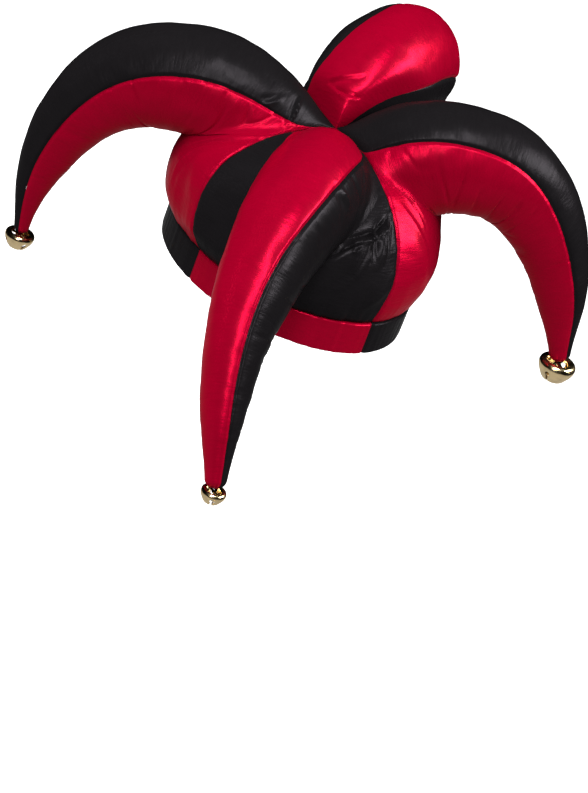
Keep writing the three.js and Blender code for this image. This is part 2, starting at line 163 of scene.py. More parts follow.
# Lights: direction from the hat in degrees, distance and size in metres, power in watts, and
# whether the light shows in glossy reflections. The floor doesn't show in them, because it would
# wash out the satin from below. The dim lamp named below stands for it there.
LIGHTS = [
    {"name": "side", "azimuth": 138, "elevation": 35, "distance": 2.6, "size": (1.8, 0.8),
     "power": 150, "shows": True},
    {"name": "over", "azimuth": 58, "elevation": 56, "distance": 2.6, "size": (0.6, 0.8),
     "power": 55, "shows": True},
    {"name": "front", "azimuth": 38, "elevation": 32, "distance": 2.6, "size": (0.35, 1.6),
     "power": 50, "shows": True},
    {"name": "left", "azimuth": -30, "elevation": 14, "distance": 2.8, "size": (0.9, 0.7),
     "power": 60, "shows": False},
    {"name": "below", "azimuth": 44, "elevation": -88, "distance": 0.7, "size": (3, 3),
     "power": 15, "shows": True},
    {"name": "top", "azimuth": -46, "elevation": 52, "distance": 5, "size": (3.2, 3.2),
     "power": 460, "shows": False},
]
LIGHT_AIM = Vector((0, 0, 0.08))
WORLD_STRENGTH = 0.7
FLOOR = -0.9
FLOOR_HALF = 25
FLOOR_SHADE = 0.8
FLOOR_ROUGHNESS = 0.9

# The looks. A satin's shade runs from deep to colour and its roughness from smooth to rough. Tint
# is the colour of its gloss at the edges. Fine and streak are the strengths of its two bumps.
RED_LOOK = {
    "colour": (0.225, 0.0, 0.012),
    "deep": (0.19, 0.0, 0.0097),
    "tint": (0.7, 0.0, 0.04),
    "fine": 0.6,
    "streak": 0.75,
    "smooth": 0.26,
    "rough": 0.4,
    "coat": 0.035,
}
BLACK_LOOK = {
    "colour": (0.0073, 0.0065, 0.0072),
    "deep": (0.006, 0.0053, 0.006),
    "tint": (0.02, 0.02, 0.02),
    "fine": 0.6,
    "streak": 0.9,
    "smooth": 0.24,
    "rough": 0.4,
    "coat": 0.02,
}
BRASS_LOOK = {"colour": (0.86, 0.67, 0.37), "smooth": 0.14, "rough": 0.26, "scale": 160}
STEEL_LOOK = {"colour": (0.5, 0.5, 0.49), "smooth": 0.25, "rough": 0.4, "scale": 300}
SATIN_ANISOTROPIC = 0.5
SATIN_METALLIC = 0.5
SATIN_SPECULAR = 0.02
SATIN_COAT_ROUGHNESS = 0.34
FINE_BUMP = 0.12
STREAK_BUMP = 0.3
STREAK_SHARE = 0.45  # of the satin's shade, where the rest is cloudy
WORN_SHADE = 0.82
WEAR_BUMP = 0.2
WEAR_STRENGTH = 0.08

# The cloth's relief, in millimetres where no other unit is named.
CREASE_BLEND = 1.4  # how softly a horn turns against its neighbour
ROOT_BLEND = 2.2  # how softly a horn turns onto the crown
UNDER_ROOT_BLEND = 4.5  # how softly its under panel does, which has the gore's own cloth
ROOT_SINK = 0.8  # how far its hidden root sits in the crown's wall
SEAM_GROOVE = 1.1  # depth of the groove at a seam
SEAM_WIDTH = 1.3
PUCKER_DEPTH = 0.38
PUCKER_REACH = 7
PUCKER_STEP = 4.2
PUCKER_SLANT = 0.35
SEAM_SEED_STEP = 3.1  # between the puckers of one seam and the next
LUMP_DEPTH = 1.5
LUMP_SIZE = 38
RIPPLE_DEPTH = 0.36
RIPPLE_SIZE = 11
THREAD_WIDTH = 0.45
THREAD_LOOPS = 4
THREAD_POINTS = 24
THREAD_SPACING = 1.15
THREAD_RISE = 1.9
THREAD_LEAN = 0.25
TIP_ROUND = 0.9
TIP_END = 0.4
TIP_CLOSED = 0.985
STRAP_THICKNESS = 0.9
STRAP_SAG = 0.35
STRAP_REACH = 0.46  # this and the next two are shares of the bell's width
STRAP_HALF_WIDTH = 0.065
STRAP_SPREAD = 0.13
STRAP_OUTLINE = [(-1, 0.2), (-0.7, 0), (0.7, 0), (1, 0.2), (1, 0.8), (0.7, 1), (-0.7, 1), (-1, 0.8)]
BEND_FOLD_DEPTH = 0.7
WRINKLE_DEPTH = 0.8
WRINKLE_STEP = 15
WRINKLE_THIN = 0.07
CREASE_SHARP = 1.5  # how fast a crisp fold falls off on both sides
CREASE_VALLEY = 0.6  # depth of the valley beside it, as a share of its own
CREASE_END = 0.08
GATHER_DEPTH = 0.8
GATHER_STEP = 4.6
GATHER_SEED = 2.5
TUCK_DEPTH = 1.6
ALLOWANCE = 5  # how far a gore's cloth runs down inside the band
ALLOWANCE_GAP = 0.4
ALLOWANCE_WALL = 1.2
BAND_GATHER_DEPTH = 0.3
BAND_HEM_DEPTH = 0.4
BAND_HEM_REACH = 4
BAND_EDGE_ROUND = 0.45  # as a share of the band's wall

# How finely the meshes are cut.
HORN_ROWS = 260
ROOT_ROWS = 13
TIP_ROWS = 8
TOP_COLUMNS = 72
UNDER_COLUMNS = 88
CROWN_COLUMNS = 190
CROWN_ROWS = 160
CROWN_LAST_ROW = 0.985
CROWN_CLOSED = 0.9995
BAND_COLUMNS = 220
BAND_ROWS = 16
BELL_SIDES = 96
BELL_PROFILE_STEPS = 44
CREASE_STEPS = 24
SHARP_CLOTH = 55  # degrees, over which an edge is shaded sharp
SHARP_BELL = 32

# Crisp folds on a horn, each along a smooth line through three places. A place is the share of the
# horn's length and the degrees round it from the middle of the top panel. Width and depth are in
# millimetres.
HORN_CREASES = [
    {"horn": "front_left", "start": (0.137, -36), "middle": (0.13, -52), "end": (0.112, -77),
     "width": 1.8, "depth": 2.4},
    {"horn": "front_left", "start": (0.172, -50), "middle": (0.182, -62), "end": (0.2, -70),
     "width": 2.4, "depth": 1.4},
    {"horn": "front_right", "start": (0.108, -24), "middle": (0.12, -12), "end": (0.138, 4),
     "width": 1.5, "depth": 2.4},
    {"horn": "front_right", "start": (0.106, -20), "middle": (0.101, 2), "end": (0.108, 34),
     "width": 1.5, "depth": -2.6},
    {"horn": "back_left", "start": (0.318, -72), "middle": (0.316, -84), "end": (0.31, -98),
     "width": 2.6, "depth": 1.8},
]

# Crisp folds on the crown, placed by compass angle and by share of CROWN_HEIGHT.
CROWN_CREASES = [
    {"start": (86, 0.84), "middle": (77, 0.765), "end": (62, 0.685), "width": 2.6, "depth": -3.2},
    {"start": (72, 0.715), "middle": (66, 0.66), "end": (59, 0.58), "width": 1.6, "depth": 2.4},
    {"start": (69.5, 0.7), "middle": (70, 0.645), "end": (74, 0.695), "width": 1.5, "depth": 2},
    {"start": (83, 0.83), "middle": (78, 0.76), "end": (76.5, 0.62), "width": 1.6, "depth": 2.6},
    {"start": (87, 0.85), "middle": (84, 0.76), "end": (82.5, 0.61), "width": 1.8, "depth": 1.8},
    {"start": (80, 0.76), "middle": (79.5, 0.7), "end": (79, 0.6), "width": 2.2, "depth": -1.4},
    {"start": (74, 0.68), "middle": (72, 0.62), "end": (70, 0.53), "width": 2, "depth": 1},
    {"start": (91, 0.975), "middle": (101, 0.925), "end": (110, 0.775), "width": 1.7, "depth": 2.4},
    {"start": (97, 0.87), "middle": (102, 0.79), "end": (108, 0.66), "width": 2.6, "depth": 0.8},
    {"start": (357, 0.95), "middle": (347, 0.85), "end": (331, 0.7), "width": 2, "depth": 2},
    {"start": (345, 0.8), "middle": (338, 0.66), "end": (336, 0.46), "width": 3, "depth": 1.1},
]

CORNERS = [section["name"] for section in SECTIONS]
CROWN_FOCUS = np.array([0, 0, 30.0])


def other_colour(colour):
    return "black" if colour == "red" else "red"


# Smooth tables and steps.


def smooth_values(values, share):
    values = np.asarray(values, float)
    last = len(values) - 1
    place = np.clip(share, 0, 1) * last
    row = np.minimum(np.floor(place).astype(int), last - 1)
    t = place - row
    a = values[np.maximum(row - 1, 0)]
    b = values[row]
    c = values[row + 1]
    d = values[np.minimum(row + 2, last)]
    bend = (c - a) / 2
    leave = (d - b) / 2
    cubic = 2 * b - 2 * c + bend + leave
    square = -3 * b + 3 * c - 2 * bend - leave
    return ((cubic * t + square) * t + bend) * t + b


def table_values(table, column, share):
    return smooth_values([row[column] for row in table], share)


def crowded(columns, pull):
    """Steps from 0 to 1 that crowd towards both ends, where the seams' puckers are."""
    even = np.linspace(0, 1, columns + 1)
    return even - pull * np.sin(2 * math.pi * even) / (2 * math.pi)


def quarter_ends(section):
    return math.radians(section["angle"] - 45), math.radians(section["angle"] + 45)


def smooth_max(value, floor, blend):
    return (value + floor + np.sqrt((value - floor) ** 2 + 4 * blend**2)) / 2


def lumps(points, size, seed):
    """Smooth noise from -1 to 1 at each point, with features of the given size."""
    shifted = np.asarray(points) / size + seed
    flat = shifted.reshape(-1, 3)
    values = np.fromiter((noise.noise(p) for p in flat), float, len(flat))
    return values.reshape(shifted.shape[:-1])


# The crown.


def crown_relief(angle, height):
    relief = np.zeros(np.broadcast(angle, height).shape)
    for fold in CROWN_FOLDS:
        turn = angle - math.radians(fold["angle"])
        across = np.arctan2(np.sin(turn), np.cos(turn)) * RIM_HALF_LENGTH
        up = height - fold["height"] * CROWN_HEIGHT
        slope = math.radians(fold["slope"])
        along = (across * math.cos(slope) + up * math.sin(slope)) / (fold["length"] * CROWN_HEIGHT)
        off = (up * math.cos(slope) - across * math.sin(slope)) / (fold["width"] * CROWN_HEIGHT)
        relief = relief + fold["depth"] * CROWN_HEIGHT * np.exp(-((2 * along) ** 2) - off**2)
    return relief


def crown_height(share):
    return BAND_HEIGHT + GAP + table_values(CROWN_SECTIONS, "height", share) * CROWN_RISE


def crown_lean(share):
    """How far the crown's wall leans in from upright, in radians."""
    step = 0.02
    before = np.clip(share - step, 0, 1)
    after = np.clip(share + step, 0, 1)

    def radius(s):
        side = table_values(CROWN_SECTIONS, "side", s) * RIM_HALF_WIDTH
        back = table_values(CROWN_SECTIONS, "back", s) * RIM_HALF_LENGTH
        return (side + back) / 2

    return np.arctan2(radius(before) - radius(after), crown_height(after) - crown_height(before))


def crown_points(angle, share, inset):
    """Points of the crown at compass angles and shares of the way up, moved in by an inset."""
    lean = crown_lean(share)
    height = crown_height(share)
    relief = (crown_relief(angle, height) - inset) * np.cos(lean)
    side = table_values(CROWN_SECTIONS, "side", share) * RIM_HALF_WIDTH + relief
    back = table_values(CROWN_SECTIONS, "back", share) * RIM_HALF_LENGTH + relief
    x = np.maximum(side, 0.01) * np.cos(angle)
    y = np.maximum(back, 0.01) * np.sin(angle)
    z = height - inset * np.maximum(np.sin(lean), 0)
    return np.stack([x, y, z + 0 * x], axis=-1)


def crown_reach(direction):
    """How far the crown's outside is from CROWN_FOCUS in each direction."""
    shares = np.linspace(0, 1, 400)
    heights = crown_height(shares)
    sides = table_values(CROWN_SECTIONS, "side", shares) * RIM_HALF_WIDTH
    backs = table_values(CROWN_SECTIONS, "back", shares) * RIM_HALF_LENGTH
    low = np.zeros(direction.shape[:-1])
    high = np.full(direction.shape[:-1], 200.0)
    for _ in range(26):
        middle = (low + high) / 2
        point = CROWN_FOCUS + direction * middle[..., None]
        side = np.interp(point[..., 2], heights, sides)
        back = np.interp(point[..., 2], heights, backs)
        angle = np.arctan2(point[..., 1] / np.maximum(back, 1), point[..., 0] / np.maximum(side, 1))
        relief = crown_relief(angle, point[..., 2])
        side = np.maximum(side + relief, 0.1)
        back = np.maximum(back + relief, 0.1)
        inside = (point[..., 0] / side) ** 2 + (point[..., 1] / back) ** 2 < 1
        inside &= point[..., 2] < heights[-1]
        low = np.where(inside, middle, low)
        high = np.where(inside, high, middle)
    return low


def onto_crown(points, blend, sink):
    """Moves points that lie in the crown out to its surface, softly."""
    offset = points - CROWN_FOCUS
    distance = np.linalg.norm(offset, axis=-1)
    direction = offset / np.maximum(distance, 1e-6)[..., None]
    reach = crown_reach(direction) - sink
    moved = smooth_max(distance, reach, blend)
    return CROWN_FOCUS + direction * moved[..., None]


def into_quarter(points, angle, blend):
    """Keeps points in the quarter of the hat round one horn, turning softly at its sides."""
    turn = math.radians(angle - 45)
    first = np.array([math.cos(turn), math.sin(turn), 0])
    second = np.array([-math.sin(turn), math.cos(turn), 0])
    for axis in (first, second):
        place = points @ axis
        moved = smooth_max(place, GAP / 2, blend)
        points = points + (moved - place)[..., None] * axis
    return points


# The horns.


def horn_stations(section, rows):
    """The middle, directions, half sizes and seam turn of a horn at even steps of its length."""
    bend = BENDS[section["name"]]
    angle = math.radians(section["angle"])
    out = np.array([math.cos(angle), math.sin(angle), 0])
    left = np.array([-math.sin(angle), math.cos(angle), 0])
    up = np.array([0, 0, 1.0])

    def direction(share):
        pitch = np.radians(table_values(bend, "pitch", share))[..., None]
        sway = np.radians(table_values(bend, "sway", share))[..., None]
        level = out * np.cos(sway) + left * np.sin(sway)
        return level * np.cos(pitch) + up * np.sin(pitch)

    share = np.linspace(0, 1, rows)
    length = HORN_LENGTH * section["fill"]
    steps = direction((share[:-1] + share[1:]) / 2) * (length / (rows - 1))
    root = out * (HORN_ROOT_REACH + section["out"] * HORN_DEPTH)
    root = root + up * (CROWN_HEIGHT + HORN_ROOT_RISE + (section["up"] - 0.5) * HORN_DEPTH)
    middle = root + np.vstack([np.zeros(3), np.cumsum(steps, axis=0)])
    ahead = direction(share)
    sway = np.radians(table_values(bend, "sway", share))[..., None]
    side = left * np.cos(sway) - out * np.sin(sway)
    rise = np.cross(ahead, side)
    rise /= np.linalg.norm(rise, axis=-1)[..., None]
    blunt = 1 + (section["tip"] - 1) * table_values(HORN_SECTIONS, "blunt", share)
    fullness = section["plump"] * blunt / 2
    return {
        "share": share,
        "middle": middle,
        "ahead": ahead,
        "side": side,
        "rise": rise,
        "half_width": table_values(HORN_SECTIONS, "width", share) * HORN_WIDTH * fullness,
        "half_depth": table_values(HORN_SECTIONS, "depth", share) * HORN_DEPTH * fullness,
        "roll": np.radians(table_values(bend, "roll", share)),
    }


def crease_relief(along, up, start, middle, end, row):
    """A crisp ridge with a valley beside it, along a curve, fading towards its ends."""
    steps = np.linspace(0, 1, CREASE_STEPS)
    curve = [
        (1 - steps) * (1 - 2 * steps) * start[i]
        + 4 * steps * (1 - steps) * middle[i]
        + steps * (2 * steps - 1) * end[i]
        for i in (0, 1)
    ]
    nearest = np.full(along.shape, np.inf)
    share = np.zeros(along.shape)
    side = np.zeros(along.shape)
    for i in range(len(steps) - 1):
        ahead = np.array([curve[0][i + 1] - curve[0][i], curve[1][i + 1] - curve[1][i]])
        length = np.hypot(*ahead)
        ahead = ahead / length
        off_along = along - curve[0][i]
        off_up = up - curve[1][i]
        reach = np.clip((off_along * ahead[0] + off_up * ahead[1]) / length, 0, 1)
        gap = np.hypot(off_along - reach * length * ahead[0], off_up - reach * length * ahead[1])
        closer = gap < nearest
        nearest = np.where(closer, gap, nearest)
        share = np.where(closer, (i + reach) / (len(steps) - 1), share)
        side = np.where(closer, off_up * ahead[0] - off_along * ahead[1], side)
    place = np.sign(side) * nearest / row["width"]
    ridge = np.exp(-CREASE_SHARP * np.abs(place))
    valley = CREASE_VALLEY * np.exp(-CREASE_SHARP * (place - 1.5) ** 2)
    fade = np.sin(math.pi * (CREASE_END + (1 - 2 * CREASE_END) * share))
    return row["depth"] * (ridge - valley) * fade


def wrinkle_lines(along, across, seed):
    """Sparse, thin creases that run across a panel, from 0 to 1."""
    spots = np.stack([along / WRINKLE_STEP, across / (4 * WRINKLE_STEP), 0 * along + seed], axis=-1)
    line = np.exp(-((lumps(spots, 1, seed) / WRINKLE_THIN) ** 2))
    patch = 2 * WRINKLE_STEP
    spots = np.stack([along / patch, across / patch, 0 * along + seed], axis=-1)
    return line * np.clip(lumps(spots, 1, seed + 4) * 3 + 0.4, 0, 1)


def seam_relief(distance, along, seed):
    """The groove of a seam and the puckers that run in from it."""
    groove = -SEAM_GROOVE * np.exp(-((distance / SEAM_WIDTH) ** 2))
    slant = along + distance * PUCKER_SLANT
    spots = np.stack([slant / PUCKER_STEP, distance / 18, 0 * slant + seed], axis=-1)
    fine = lumps(spots, 1, seed)
    spots = np.stack([slant / (3.1 * PUCKER_STEP), distance / 40, 0 * slant + seed], axis=-1)
    wide = lumps(spots, 1, seed + 5)
    near = np.exp(-distance / PUCKER_REACH) * fine
    far = np.exp(-distance / (2.6 * PUCKER_REACH)) * wide
    return groove + PUCKER_DEPTH * near + 1.5 * PUCKER_DEPTH * far


def with_root_and_tip(stations):
    """Adds the hidden rows behind the root and the rows that round off the tip."""
    back = np.linspace(-HORN_ROOT_BACK, 0, ROOT_ROWS + 1)[:-1]
    round_off = np.sin(np.linspace(0, math.pi / 2, TIP_ROWS + 1))[1:]
    rows = {}
    tip_length = stations["half_width"][-1] * TIP_ROUND
    first = stations["middle"][:1] + back[:, None] * stations["ahead"][:1]
    last = stations["middle"][-1:] + (round_off * tip_length)[:, None] * stations["ahead"][-1:]
    rows["middle"] = np.vstack([first, stations["middle"], last])
    for name in ("side", "rise", "ahead", "roll"):
        value = stations[name]
        root = np.repeat(value[:1], ROOT_ROWS, 0)
        tip = np.repeat(value[-1:], TIP_ROWS, 0)
        rows[name] = np.concatenate([root, value, tip])
    shrink = np.sqrt(1 - (round_off * TIP_CLOSED) ** 2)
    for name in ("half_width", "half_depth"):
        value = stations[name]
        rows[name] = np.concatenate([np.repeat(value[0], ROOT_ROWS), value, value[-1] * shrink])
    step = np.linalg.norm(np.diff(rows["middle"], axis=0), axis=-1)
    rows["along"] = np.concatenate([[0], np.cumsum(step)]) - HORN_ROOT_BACK
    return rows


def horn_panel(section, is_top):
    """The grid of points of one panel of a horn, from seam to seam, and its cloth coordinates."""
    rows = with_root_and_tip(horn_stations(section, HORN_ROWS))
    columns = TOP_COLUMNS if is_top else UNDER_COLUMNS
    seam = math.radians((180 - TOP_PANEL_ARC * section["panel"]) / 2)
    back = GAP / 2 / np.maximum(rows["half_width"], 1)
    if is_top:
        start = seam + rows["roll"] + back
        end = math.pi - seam + rows["roll"] - back
    else:
        start = math.pi - seam + rows["roll"] + back
        end = 2 * math.pi + seam + rows["roll"] - back
    angle = start[:, None] + (end - start)[:, None] * crowded(columns, 0.6)

    def surface(grow):
        return (
            rows["middle"][:, None]
            + rows["side"][:, None] * (np.cos(angle) * (rows["half_width"][:, None] + grow))[..., None]
            + rows["rise"][:, None] * (np.sin(angle) * (rows["half_depth"][:, None] + grow))[..., None]
        )

    base = surface(0)
    normal = surface(1) - base
    normal /= np.linalg.norm(normal, axis=-1)[..., None]
    radius = ((rows["half_width"] + rows["half_depth"]) / 2)[:, None]
    from_start = (angle - start[:, None]) * radius
    from_end = (end[:, None] - angle) * radius
    along = rows["along"][:, None] + 0 * angle
    around = np.degrees(angle - rows["roll"][:, None]) - 90
    thickness = np.clip(radius / 30, 0.12, 1)

    left_seam = section["seed"] + 0.3
    right_seam = section["seed"] + 7.7
    seeds = (left_seam, right_seam) if is_top else (right_seam, left_seam)
    puckers = seam_relief(from_start, along, seeds[0]) + seam_relief(from_end, along, seeds[1])
    relief = puckers * np.clip(thickness * 1.6, 0.25, 1)
    relief = relief + LUMP_DEPTH * thickness * lumps(base, LUMP_SIZE, section["seed"])
    ripple = lumps(base, RIPPLE_SIZE, section["seed"] + 3)
    relief = relief + RIPPLE_DEPTH * thickness * ripple
    if not is_top:
        # The inside of the bend is pushed together into folds that run round it.
        under = np.exp(-(((around - 180) / 62) ** 2))
        spots = np.stack([along / 13, around / 90, 0 * along], axis=-1)
        relief = relief + BEND_FOLD_DEPTH * thickness * under * lumps(spots, 1, section["seed"] + 9)
        lines = wrinkle_lines(along, np.radians(around) * radius, section["seed"] + 21)
        relief = relief - WRINKLE_DEPTH * thickness * lines
    turn = np.radians((around + 180) % 360 - 180)
    length = HORN_LENGTH * section["fill"]
    for row in HORN_CREASES:
        if row["horn"] != section["name"]:
            continue
        flat = np.interp(row["middle"][0], along[:, 0] / length, radius[:, 0])
        places = [
            (row[key][0] * length, math.radians(row[key][1]) * flat)
            for key in ("start", "middle", "end")
        ]
        relief = relief + crease_relief(along, turn * radius, *places, row)
    points = base + normal * relief[..., None]
    points = into_quarter(points, section["angle"], CREASE_BLEND)
    points = onto_crown(points, ROOT_BLEND if is_top else UNDER_ROOT_BLEND, ROOT_SINK)
    cloth = np.stack([along, from_start + 200 * is_top], axis=-1)
    return points, cloth


# Meshes.


def ring_mesh(name, rings, cloth):
    """A closed skin through rings of equally many points, given in millimetres."""
    count, size = rings.shape[:2]
    ring = np.arange(count - 1)[:, None] * size
    place = np.arange(size)[None, :]
    following = (place + 1) % size
    a = ring + place
    b = ring + following
    quads = np.stack([a, b, b + size, a + size], axis=-1).reshape(-1, 4).tolist()
    quads.append(list(range(size))[::-1])
    quads.append([(count - 1) * size + i for i in range(size)])
    mesh = bpy.data.meshes.new(name)
    mesh.from_pydata((rings.reshape(-1, 3) * MM).tolist(), [], quads)
    skin = bmesh.new()
    skin.from_mesh(mesh)
    bmesh.ops.recalc_face_normals(skin, faces=skin.faces)
    skin.to_mesh(mesh)
    skin.free()
    mesh.shade_smooth()
    mesh.set_sharp_from_angle(angle=math.radians(SHARP_CLOTH))
    layer = mesh.uv_layers.new(name="cloth")
    corner = np.empty(len(mesh.loops), dtype=np.int32)
    mesh.loops.foreach_get("vertex_index", corner)
    values = (cloth.reshape(-1, 2) * MM)[corner]
    layer.data.foreach_set("uv", values.astype(np.float32).ravel())
    piece = bpy.data.objects.new(name, mesh)
    bpy.context.collection.objects.link(piece)
    return piece


def dress(piece, slot, *nodes):
    """Gives a piece its material and its place in the model."""
    piece.data.materials.clear()
    piece.data.materials.append(LOOKS[slot])
    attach(piece, "root")
    if nodes:
        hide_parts(*nodes)


def horn_half(section, part):
    is_top = part == "top"
    points, cloth = horn_panel(section, is_top)
    colour = other_colour(section["gore"]) if is_top else section["gore"]
    piece = ring_mesh(f"satin_horn_{section['name']}_{part}", points, cloth)
    dress(piece, f"satin_{colour}", f"horn_{section['name']}_{part}")


def gathers(angle, height):
    """The irregular gathers that the elastic pulls into the cloth, along the rim."""
    along = angle * RIM_HALF_LENGTH
    narrow = np.stack([along / GATHER_STEP, height / 60, 0 * along + GATHER_SEED], axis=-1)
    wide = np.stack([along / 12, height / 60, 0 * along + GATHER_SEED], axis=-1)
    return lumps(narrow, 1, GATHER_SEED) + 0.8 * lumps(wide, 1, GATHER_SEED + 2)


def seam_allowance(angle):
    """The gore's edge inside the band, as three rings: its inner edge, its lower edge and its top."""
    rings = []
    deep = ALLOWANCE_GAP + ALLOWANCE_WALL
    for inset, drop in ((deep, ALLOWANCE), (ALLOWANCE_GAP, ALLOWANCE), (ALLOWANCE_GAP, 0)):
        width = RIM_HALF_WIDTH - BAND_WALL - inset
        length = RIM_HALF_LENGTH - BAND_WALL - inset
        height = np.full_like(angle, BAND_HEIGHT + GAP - drop)
        rings.append(np.stack([width * np.cos(angle), length * np.sin(angle), height], axis=-1))
    return np.concatenate(rings, axis=1)


def crown_gore(section):
    first, last = quarter_ends(section)
    angle = (first + (last - first) * crowded(CROWN_COLUMNS, 0.5))[:, None]
    share = np.append(np.linspace(0, CROWN_LAST_ROW, CROWN_ROWS), CROWN_CLOSED)[None, :]
    base = crown_points(angle, share, 0)
    normal = base - crown_points(angle, share, 1)
    normal /= np.linalg.norm(normal, axis=-1)[..., None]
    radius = np.hypot(base[..., 0], base[..., 1])
    from_first = (angle - first) * radius
    from_last = (last - angle) * radius
    rise = np.cumsum(np.linalg.norm(np.diff(base, axis=1, prepend=base[:, :1]), axis=-1), axis=1)
    seed = CORNERS.index(section["name"]) * SEAM_SEED_STEP
    relief = seam_relief(from_first, rise, seed)
    relief = relief + seam_relief(from_last, rise, seed + SEAM_SEED_STEP)
    relief = relief + 0.8 * LUMP_DEPTH * lumps(base, LUMP_SIZE, section["seed"] + 11)
    relief = relief + RIPPLE_DEPTH * lumps(base, RIPPLE_SIZE, section["seed"] + 13)
    near_band = np.exp(-rise / 13)
    relief = relief + GATHER_DEPTH * near_band * gathers(angle + 0 * rise, base[..., 2])
    relief = relief - TUCK_DEPTH * np.exp(-rise / TUCK_DEPTH)
    for row in CROWN_CREASES:
        centre = math.radians(row["middle"][0])
        flat = np.interp(row["middle"][1] * CROWN_HEIGHT, base[0, :, 2], radius[0])
        turn = np.arctan2(np.sin(angle - centre), np.cos(angle - centre))
        places = []
        for key in ("start", "middle", "end"):
            across = math.radians(row[key][0] - row["middle"][0]) * flat
            places.append((across, np.interp(row[key][1] * CROWN_HEIGHT, base[0, :, 2], rise[0])))
        relief = relief + crease_relief(turn * (radius * 0.5 + flat * 0.5), rise, *places, row)
    outside = base + normal * relief[..., None]
    inside_share = np.linspace(CROWN_LAST_ROW, 0.03, CROWN_ROWS // 4)[None, :]
    inside = crown_points(angle, inside_share, CROWN_WALL)
    inside = np.concatenate([inside, seam_allowance(angle)], axis=1)
    rings = np.concatenate([outside, inside], axis=1)
    cloth_up = np.concatenate([rise, inside[..., 2]], axis=1)
    cloth_round = np.concatenate([from_first, from_first[:, : inside.shape[1]]], axis=1)
    cloth = np.stack([cloth_up, cloth_round], axis=-1)
    piece = ring_mesh(f"satin_crown_{section['name']}", rings, cloth)
    dress(piece, f"satin_{section['gore']}", f"crown_{section['name']}")


def band_quarter(section):
    first, last = quarter_ends(section)
    angle = np.linspace(first, last, BAND_COLUMNS + 1)[:, None]
    corner = np.linspace(0, math.pi / 2, 5)
    edge_round = BAND_WALL * BAND_EDGE_ROUND
    heights = np.concatenate([
        edge_round * (1 - np.cos(corner)),
        np.linspace(edge_round, BAND_HEIGHT - edge_round, BAND_ROWS)[1:-1],
        BAND_HEIGHT - edge_round * (1 - np.sin(corner)),
        [BAND_HEIGHT, BAND_HEIGHT * 0.5, 0],
    ])[None, :]
    insets = np.concatenate([
        edge_round * (1 - np.sin(corner)),
        np.zeros(BAND_ROWS - 2),
        edge_round * (1 - np.cos(corner)),
        [BAND_WALL, BAND_WALL, BAND_WALL],
    ])[None, :]
    pull = gathers(angle + 0 * heights, heights + 0 * angle)
    from_seam = np.minimum(angle - first, last - angle) * RIM_HALF_WIDTH
    relief = BAND_GATHER_DEPTH * (pull - 0.6) - insets
    relief = relief - SEAM_GROOVE * np.exp(-((from_seam / SEAM_WIDTH) ** 2))
    x = (RIM_HALF_WIDTH + relief) * np.cos(angle)
    y = (RIM_HALF_LENGTH + relief) * np.sin(angle)
    hem = np.exp(-heights / BAND_HEM_REACH) * BAND_HEM_DEPTH * (1 + pull)
    z = np.broadcast_to(heights, x.shape) + hem
    rings = np.stack([x, y, z], axis=-1)
    cloth = np.stack([z + 200, angle * RIM_HALF_LENGTH + 0 * z], axis=-1)
    piece = ring_mesh(f"satin_band_{section['name']}", rings, cloth)
    dress(piece, f"satin_{other_colour(section['gore'])}", f"band_{section['name']}")


# The bells.


def bell_width(section):
    return BELLS[section["name"]]["size"] * BELL_WIDTH


def strap_top(width):
    return width * BELL_HEIGHT_TO_WIDTH * BELL_STRAP_RISE


def bell_turn(section):
    return math.radians(BELLS[section["name"]]["turn"])


def bell_place(section):
    """Where the middle of a bell's floor is: straight below the tip of its horn."""
    rows = horn_stations(section, HORN_ROWS)
    half_width = rows["half_width"][-1]
    half_depth = rows["half_depth"][-1]
    tip = rows["middle"][-1] + rows["ahead"][-1] * half_width * TIP_ROUND
    side_drop = rows["side"][-1][2] * half_width * TIP_END
    rise_drop = rows["rise"][-1][2] * half_depth * TIP_END
    below_tip = math.hypot(side_drop, rise_drop) + GAP + strap_top(bell_width(section))
    return tip - np.array([0, 0, below_tip])


def bell_profile(width):
    """The bell's section, up its outside, over the rolled rim and down its inside."""
    radius = width / 2
    height = width * BELL_HEIGHT_TO_WIDTH
    share = np.linspace(0, 1, BELL_PROFILE_STEPS)
    reach = smooth_values([row["reach"] for row in BELL_OUTSIDE], share) * radius
    rise = smooth_values([row["rise"] for row in BELL_OUTSIDE], share) * height
    slope = np.stack([np.gradient(reach), np.gradient(rise)], axis=-1)
    slope /= np.linalg.norm(slope, axis=-1)[:, None]
    outside = np.stack([reach, rise], axis=-1)
    inside = outside + np.stack([-slope[:, 1], slope[:, 0]], axis=-1) * BELL_WALL
    inside[:, 0] = np.maximum(inside[:, 0], 0)
    middle_out = np.array([[0.0, 0.0]])
    middle_in = np.array([[0.0, BELL_WALL]])
    return np.vstack([middle_out, outside, inside[::-1], middle_in])


def lathe(profile, sides):
    """A closed solid of revolution. The profile starts and ends on the axis."""
    solid = bmesh.new()
    rings = []
    for reach, rise in profile:
        if reach < 1e-6:
            rings.append([solid.verts.new((0, 0, rise))])
            continue
        ring = []
        for i in range(sides):
            angle = 2 * math.pi * i / sides
            ring.append(solid.verts.new((reach * math.cos(angle), reach * math.sin(angle), rise)))
        rings.append(ring)
    for low, high in zip(rings, rings[1:]):
        for i in range(sides):
            j = (i + 1) % sides
            below = [low[i % len(low)], low[j % len(low)]]
            corners = below + [high[j % len(high)], high[i % len(high)]]
            solid.faces.new(list(dict.fromkeys(corners)))
    bmesh.ops.recalc_face_normals(solid, faces=solid.faces)
    return solid


def object_from(name, solid):
    mesh = bpy.data.meshes.new(name)
    solid.to_mesh(mesh)
    solid.free()
    piece = bpy.data.objects.new(name, mesh)
    bpy.context.collection.objects.link(piece)
    return piece


